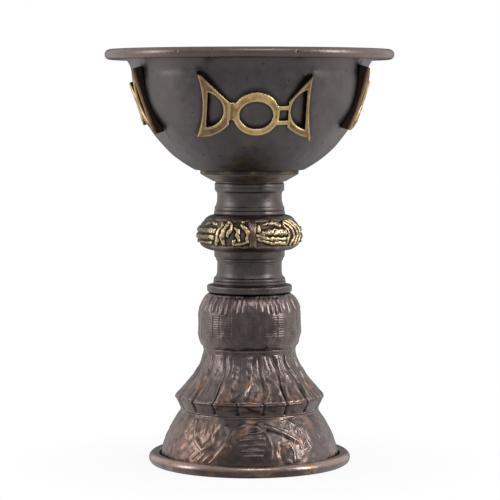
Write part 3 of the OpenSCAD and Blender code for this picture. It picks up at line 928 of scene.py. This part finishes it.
bulb_neck_r = BULB_R - 1.45
shoulder_z, shoulder_x = foot_collar_z - 6.5, BULB_R - 4
waist_z = bulb_z + 4.2
bulb_outer = np.vstack([
    [[SCREW_R, foot_collar_z]],
    swell(shoulder_x, shoulder_z, 3.9, 6.5, 1.65, 90, 0, 30), [[BULB_R, shoulder_z - 2]],
    swell(bulb_neck_r, waist_z, 1.45, 4.1, 1.5, 0, -90, 20), [[bulb_neck_r, bulb_z]]])
bulb_inner = np.vstack([
    [[bulb_neck_r, bulb_z], [bulb_neck_r - FOOT_T, bulb_z]],
    swell(bulb_neck_r - FOOT_T, waist_z, 1.45, 4.1, 1.5, -90, 0, 10),
    [[BULB_R - FOOT_T, shoulder_z - 2]],
    swell(shoulder_x, shoulder_z, 3.9 - FOOT_T, 6.5 - FOOT_T, 1.65, 0, 90, 10),
    [[SCREW_R, foot_collar_z - FOOT_T], [SCREW_R, foot_collar_z]]])
lathe("foot_bulb", raised_copper, [
    (bulb_outer[:2], 1.5, 0), (bulb_outer[1:], 0.19, 1), (bulb_inner, 1.2, 0)], 720,
    bulb_relief, bulb_marks)

LIP_RISE = 4.0
PETALS = 18
SKIRT_MID_R = 18
PETAL_DEG = 360 / PETALS
petal_jitter = rng.uniform(-1.6, 1.6, PETALS)
lip_z = skirt_z + LIP_RISE
neck_r = BULB_R - 1.5
skirt_top_z = bulb_z - 1.6


def skirt_relief(angle, z, r):
    """Spreading flutes that end in petals at the lip, and shallow panels on the band under it."""
    down = ramp(z, skirt_top_z, lip_z)
    sway = 1.3 * wobble(angle, z, SKIRT_MID_R, 11, 55) * window(z, lip_z + 1.5, skirt_top_z, 2)
    _, edge, into = by_panel(angle + 10 + sway, petal_jitter, PETALS)
    on_flare = window(z, lip_z + 0.5, skirt_top_z - 0.4, 0.6)
    deg = np.radians(1) * r
    across = PETAL_DEG * deg
    off = np.abs(into - 0.5)
    joint = hump(edge * deg, 0.6)
    spine = hump(off * across, 0.6)
    side = hump((off - 0.27) * across, 0.7)
    strength = 0.75 + 0.35 * wobble(angle, z * 0, SKIRT_MID_R, 6, 54)
    made = on_flare * strength * (
        0.16 * np.sin(np.pi * into) - 0.20 * joint
        + 0.17 * side * (0.4 + 0.6 * down) + 0.12 * spine * (1 - down * 0.6))
    tip = lip_z + 7.5
    petal_half = np.clip((tip - z) / 7.5, 0, 1) ** 0.75 * 0.42
    inside_petal = ramp(petal_half - off, -0.05, 0.05) * window(z, lip_z + 0.3, tip - 0.3, 0.3)
    rim_line = hump((petal_half - off) * across, 0.6) * (z < tip + 0.3)
    made += (0.13 * rim_line * on_flare + 0.05 * inside_petal) * strength
    made += window(z, bulb_z - 2.0, bulb_z, 0.3) * 0.03 * np.cos(2 * math.pi * z / 0.55)
    lip = window(z, lip_z - 0.5, lip_z + 0.25, 0.3)
    made += lip * (-0.30 * (1 - ramp(edge * deg, 0.0, 0.7)) + 0.10)
    under = window(z, skirt_z + 0.6, lip_z - 0.9, 0.4)
    made += under * (0.05 * np.sin(np.pi * into) - 0.26 * (1 - ramp(edge * deg, 0.15, 0.75)))
    hammer = (0.035 * wobble(angle, z, SKIRT_MID_R, 4, 51)
              + 0.010 * wobble(angle, z, SKIRT_MID_R, 1.6, 52))
    made += hammer * window(z, skirt_z + 0.5, bulb_z - 0.8, 0.5)
    return made * (z < bulb_z - 0.1) - 0.15 * (z < bulb_z - 0.4) * (z > skirt_z + 0.4)


def skirt_marks(angle, z, r):
    """Reddish, better rubbed copper towards the lip."""
    rubbed = ramp(wobble(angle, z, SKIRT_MID_R, 7, 53), 0, 1.4)
    return 0.8 * window(z, lip_z + 0.5, lip_z + 5, 1.5) * rubbed


base_top_r = SKIRT_R - 1.6
lap_r = neck_r - FOOT_T
lap_top_z = level("foot_skirt", True)
skirt_outer = np.vstack([
    rounded([(neck_r, bulb_z), (neck_r, skirt_top_z + 0.01)], 0.1),
    sweep(neck_r, skirt_top_z, SKIRT_R, lip_z, 1.55),
    arc(SKIRT_R - 0.35, lip_z - 0.45, 0.45, 50, -60, 6),
    [[base_top_r + 0.7, skirt_z + 1.6], [base_top_r, skirt_z]]])
skirt_inner = np.vstack([
    [[base_top_r, skirt_z], [base_top_r - FOOT_T, skirt_z], [SKIRT_R - FOOT_T - 0.4, lip_z - 0.5]],
    sweep(neck_r - FOOT_T, skirt_top_z, SKIRT_R - FOOT_T - 0.3, lip_z - 0.4, 1.55)[::-1],
    [[lap_r - FOOT_T, lap_top_z], [lap_r, lap_top_z], [lap_r, bulb_z], [neck_r, bulb_z]]])
lathe("foot_skirt", raised_copper, [
    (skirt_outer, 0.2, 1), (skirt_inner, 1.2, 0)], 720, skirt_relief, skirt_marks)

ROLL_R = 1.75
roll_centre = FOOT_R - ROLL_R
base_wall_r = FOOT_R - 3.25
BASE_MID_R, BASE_CHASED_R = 24, 23.8


def base_relief(angle, z, r):
    """Chased scrolls, leaves and feathers on the cone, twice round."""
    def line(points, width, height, taper=1.0):
        return height * stroke(angle, z, BASE_CHASED_R, points, width * 0.85, HALF_TURN, taper)
    ridges = strokes(
        line,
        (0.75, 0.5, -46, 14.3, -41, 9.5, -33, 6.9, -25, 9, -24, 14),
        (0.9, 0.3, -35, 14.2, -34, 11.5), (0.55, 0.35, -49, 14.4, -53, 11, -50, 9.6),
        (0.35, 0.45, -39, 6.6, -43, 5), (0.35, 0.45, -35, 6.2, -39, 4.4),
        (0.35, 0.45, -30.5, 5.9, -34.5, 4), (0.35, 0.45, -26.5, 5.6, -30.5, 3.8),
        (0.35, 0.4, -22.5, 5.2, -26, 3.6), (0.7, 0.4, -18, 13.6, -15, 11.4, -17, 8.4, -22, 5.6),
        (0.85, 0.42, -15, 10, -11, 13.2, -4, 14, 6, 13.6, 13, 11.6, 15, 8, 13.5, 5),
        (0.42, 0.4, -5, 11.6, 9, 12.2), (0.45, 0.42, -6, 10.1, 10, 10.6),
        (0.45, 0.42, -6, 8.6, 10, 8.9), (0.42, 0.4, -5, 7.2, 9, 7.3), (0.4, 0.35, -4, 5.8, 8, 5.9),
        (0.4, 0.4, 33, 10, 31, 7.6), (0.4, 0.4, 36, 9.6, 36.5, 7.2),
        (0.42, 0.45, 26, 14.6, 30, 15, 37, 13.6, 43, 10.4, 45, 7),
        (0.4, 0.45, 25, 14, 25.5, 12.6, 29, 12.4, 30, 13.8), (0.42, 0.5, 33, 14, 32, 12.6),
        (0.42, 0.5, 37, 12.8, 35.2, 11.4), (0.42, 0.5, 40, 11.2, 37.6, 10),
        (0.42, 0.5, 42.4, 9.4, 39.6, 8.4), (0.42, 0.45, 43.4, 7.6, 40.4, 6.8),
        (0.6, 0.4, 20, 9.4, 17.5, 7, 18.5, 4.4), (0.8, 0.42, 23, 8.6, 28, 9, 31, 6.6, 30, 4.2),
        (0.6, 0.35, -71, 14, -66, 9.4, -64, 4.4))
    ridges.append(line([(12, 13.8), (19, 13), (27, 11.4), (35, 9.6)], 0.85, 0.55, 0.6))
    grooves = strokes(
        line,
        (0.5, 0.5, -41, 13.9, -38.5, 10.2, -33, 8, -28, 9.8, -27.5, 13.6),
        (0.5, 0.5, 13, 12.8, 20, 12, 28, 10.2, 34, 8.8),
        (0.5, 0.3, -12, 8.6, -9, 11.6, -3, 12.7, 5, 12.6),
        (0.5, 0.35, 21.5, 8.2, 20.5, 6, 21.5, 4.2), (0.4, 0.3, 50, 13.4, 57, 9.8, 61, 5.4),
        (0.45, 0.35, -66, 14.2, -60, 9.6, -58, 4.4))
    row = stroke(angle, z, BASE_CHASED_R, [(66, 13.4), (72, 10.0), (75, 5.6)], 0.45, HALF_TURN)
    dots = row * (np.cos(2 * math.pi * z / 1.1) > 0) * 0.4
    wall = window(z, 2.9, skirt_z - 0.6, 0.5) * (r < base_wall_r + 0.6)
    made = np.maximum.reduce([*ridges, dots]) - np.maximum.reduce(grooves)
    hammer = 0.16 * wobble(angle, z, BASE_MID_R, 7, 61) + 0.06 * wobble(angle, z, BASE_MID_R, 2.6, 62)
    made = made * (0.85 + 0.2 * wobble(angle, z, BASE_MID_R, 4, 64)) + hammer
    return made * wall * 0.45 - 0.24 * wall


def base_marks(angle, z, r):
    """Reddish copper in patches on the cone and along the rolled edge."""
    roll = (z < 4.2) * (r > base_wall_r)
    patches = 0.6 * ramp(wobble(angle, z, BASE_MID_R, 9, 66), 0.2, 1.6) * (z > 3)
    by_scroll = window(wrap(angle + 42, HALF_TURN), -14, 14, 14) * window(z, 4, 13, 3)
    patches = np.maximum(patches, 0.55 * by_scroll)
    return np.where(roll, 0.9 * ramp(wobble(angle, z * 0, 28, 9, 65), -0.4, 1.2), patches)


lap_base_r = base_top_r - FOOT_T
lap_base_z = level("foot_base", True)
foot_wire_r = ROLL_R - FOOT_T
cone = dome(base_top_r, skirt_z, base_wall_r, 2)
base_fine = np.vstack([[[lap_base_r, skirt_z]], cone, [[base_wall_r + 0.1, FOOT_T + 0.3]]])
base_roll = np.vstack([
    base_fine[-1:], [[base_wall_r + 0.4, FOOT_T]],
    arc(roll_centre, ROLL_R, foot_wire_r, -90, 140, 20),
    arc(roll_centre, ROLL_R, ROLL_R, 140, -90, 26),
    [[base_wall_r - 0.6, 0], [base_wall_r - FOOT_T, 0.5]]])
base_inner = np.vstack([
    base_roll[-1:], dome(base_top_r - FOOT_T, skirt_z - 0.5, base_wall_r - FOOT_T, 2, n=16)[::-1],
    [[lap_base_r - FOOT_T, skirt_z - 0.6], [lap_base_r - FOOT_T, lap_base_z],
     [lap_base_r, lap_base_z], [lap_base_r, skirt_z]]])
lathe("foot_base", raised_copper, [
    (base_fine, 0.19, 1), (base_roll, 0.5, 0), (base_inner, 1.0, 0)], 720, base_relief, base_marks,
    # rubbed top of the rolled edge, with a painted highlight line
    rub_and_sheen=lambda angle, z, r: 0.6 * (r > base_wall_r + 0.3) * ramp(z, 1.2, 2.6),
    # painted shade on the front of the cone, and the same half a turn round
    dark=lambda angle, z, r: (0.45 * window(wrap(angle, HALF_TURN), -14, 12, 10)
                              * window(z, 4.5, skirt_z - 1, 2)))

# ---- fasteners inside the foot
rod_low = level("tie_rod")
lathe("tie_rod", zinc_steel, [(rounded([
    (0, rod_low), (SCREW_R - 0.5, rod_low), (SCREW_R, rod_low + 0.5, 0.1), (SCREW_R, rod_top, 0.05),
    (0, rod_top)]), 0.12, 1)], 160, thread(rod_low, rod_top))
turned_ring("backing_disc", fastener_brass, SCREW_R)
turned_ring("tie_washer", zinc_steel, SCREW_R)

NUT_FLATS = 10.0
nut_low, nut_high = level("tie_nut"), level("tie_nut", True)
nut_corner = NUT_FLATS / 2 / math.cos(math.radians(30))


def nut_relief(angle, z, r):
    """Cuts a turned blank to six flats with turned-down corners."""
    flat = NUT_FLATS / 2 / np.cos(np.radians(wrap(angle, 60)))
    from_end = np.minimum(z - nut_low, nut_high - z)
    limit = np.minimum(flat, NUT_FLATS / 2 + 0.1 + from_end * 1.7)
    return np.where(r > nut_corner - 0.01, limit - nut_corner, 0)


lathe("tie_nut", zinc_steel, [
    (np.array([[SCREW_R, nut_low], [NUT_FLATS / 2, nut_low]]), 0.5, 0),
    (np.array([[nut_corner, nut_low + 0.01], [nut_corner, nut_high - 0.01]]), 0.25, 1),
    (np.array([[NUT_FLATS / 2, nut_high], [SCREW_R, nut_high], [SCREW_R, nut_low]]), 0.5, 0)],
    360, nut_relief)

for wire, finish in (("rim_wire", turned_copper), ("foot_rim_wire", raised_copper)):
    frame["nodes"][wire].data.materials.clear()
    frame["nodes"][wire].data.materials.append(finish)

# ---- floor, light and camera
floor_mesh = bpy.data.meshes.new("floor")
FLOOR_R, STEPS = 0.9, 96
floor_edge = [(x, y, 0) for x, y in arc(0, 0, FLOOR_R, 0, 360, STEPS)[:-1]]
floor_mesh.from_pydata(floor_edge, [], [list(range(STEPS))])
floor = add_object("floor", floor_mesh)
floor.visible_glossy = False
floor_paint = bpy.data.materials.new("floor_paint")
floor_paint.use_nodes = True
tree = floor_paint.node_tree
tree.nodes.clear()
where = add_node(tree, "TexCoord").outputs["Object"]
distance = add_node(tree, "VectorMath", {0: where}, operation="LENGTH").outputs["Value"]
pale = blend_colour(tree, noise(tree, where, 300), (0.80,) * 3, (0.84,) * 3)
matt = add_node(tree, "BsdfDiffuse", {"Color": pale})
glow = add_node(tree, "Emission", {"Color": (1, 1, 1, 1), "Strength": 1.0})
share = spread(tree, distance, 0.03, 0.08, 0.92, 1.0)
mixed = add_node(tree, "MixShader", {0: share, 1: matt.outputs[0], 2: glow.outputs[0]})
tree.links.new(mixed.outputs[0], add_node(tree, "OutputMaterial").inputs[0])
floor_mesh.materials.append(floor_paint)

world = bpy.data.worlds.new("studio")
bpy.context.scene.world = world
world.use_nodes = True
tree = world.node_tree
tree.nodes.clear()
way = add_node(tree, "TexCoord").outputs["Generated"]
xyz = add_node(tree, "SeparateXYZ", {0: way}).outputs
flat = calc(tree, "ADD", times(tree, xyz[0], xyz[0]), times(tree, xyz[1], xyz[1]))
flat = calc(tree, "SQRT", flat)
turned_back = calc(tree, "DIVIDE", xyz[1], flat)
sideways = spread(tree, turned_back, -0.6, 0.1, 0.0, 0.5)
behind = spread(tree, turned_back, 0.85, 1.0, 0.0, -0.65)
shallow = spread(tree, flat, 0.4, 1.0)
steep = spread(tree, xyz[2], -0.3, -0.6)
above = spread(tree, xyz[2], 0.3, 0.9, 0.0, 0.2)
below = spread(tree, xyz[2], -0.1, -0.6, 0.0, 0.07)
light = calc(tree, "ADD", times(tree, sideways, shallow),
             times(tree, behind, calc(tree, "MAXIMUM", shallow, steep)))
light = calc(tree, "ADD", light, calc(tree, "ADD", calc(tree, "ADD", above, below), 0.35))
light = calc(tree, "MAXIMUM", light, 0.08)
seen = add_node(tree, "LightPath").outputs["Is Camera Ray"]
backdrop = add_node(tree, "Background", {"Color": (1, 1, 1, 1), "Strength": 1.0})
studio = add_node(tree, "Background", {"Color": (1, 1, 1, 1), "Strength": light})
picked = add_node(tree, "MixShader", {0: seen, 1: studio.outputs[0], 2: backdrop.outputs[0]})
tree.links.new(picked.outputs[0], add_node(tree, "OutputWorld").inputs[0])


def softbox(name, place, size, power):
    """An area light that faces the middle of the cup."""
    lamp = bpy.data.lights.new(name, "AREA")
    lamp.shape, lamp.size, lamp.size_y, lamp.energy = "RECTANGLE", size[0], size[1], power
    made = add_object(name, lamp)
    made.location = place
    aim = (cad_box[0] + cad_box[1]) / 2 - made.location
    made.rotation_euler = aim.to_track_quat("-Z", "Y").to_euler()


softbox("right_box", (0.62, -0.22, 0.34), (0.16, 0.40), 1.3)
softbox("left_box", (-0.66, -0.12, 0.28), (0.20, 0.40), 0.7)
softbox("top_box", (0.10, -0.42, 0.62), (0.36, 0.14), 0.5)

CAMERA_BACK, CAMERA_UP, CAMERA_SIDE = 0.630, 0.1072, 0.00015
CAMERA_PITCH, FOCAL_MM = 4.10, 156.73
camera = add_object("camera", bpy.data.cameras.new("camera"))
camera.location = (CAMERA_SIDE, -CAMERA_BACK, CAMERA_UP)
camera.data.sensor_width = 36
camera.data.lens = FOCAL_MM
camera.data.clip_start, camera.data.clip_end = 0.01, 20
camera.rotation_euler = (math.radians(90 - CAMERA_PITCH), 0, 0)
bpy.context.scene.camera = camera
bpy.context.scene.view_settings.view_transform = "Standard"
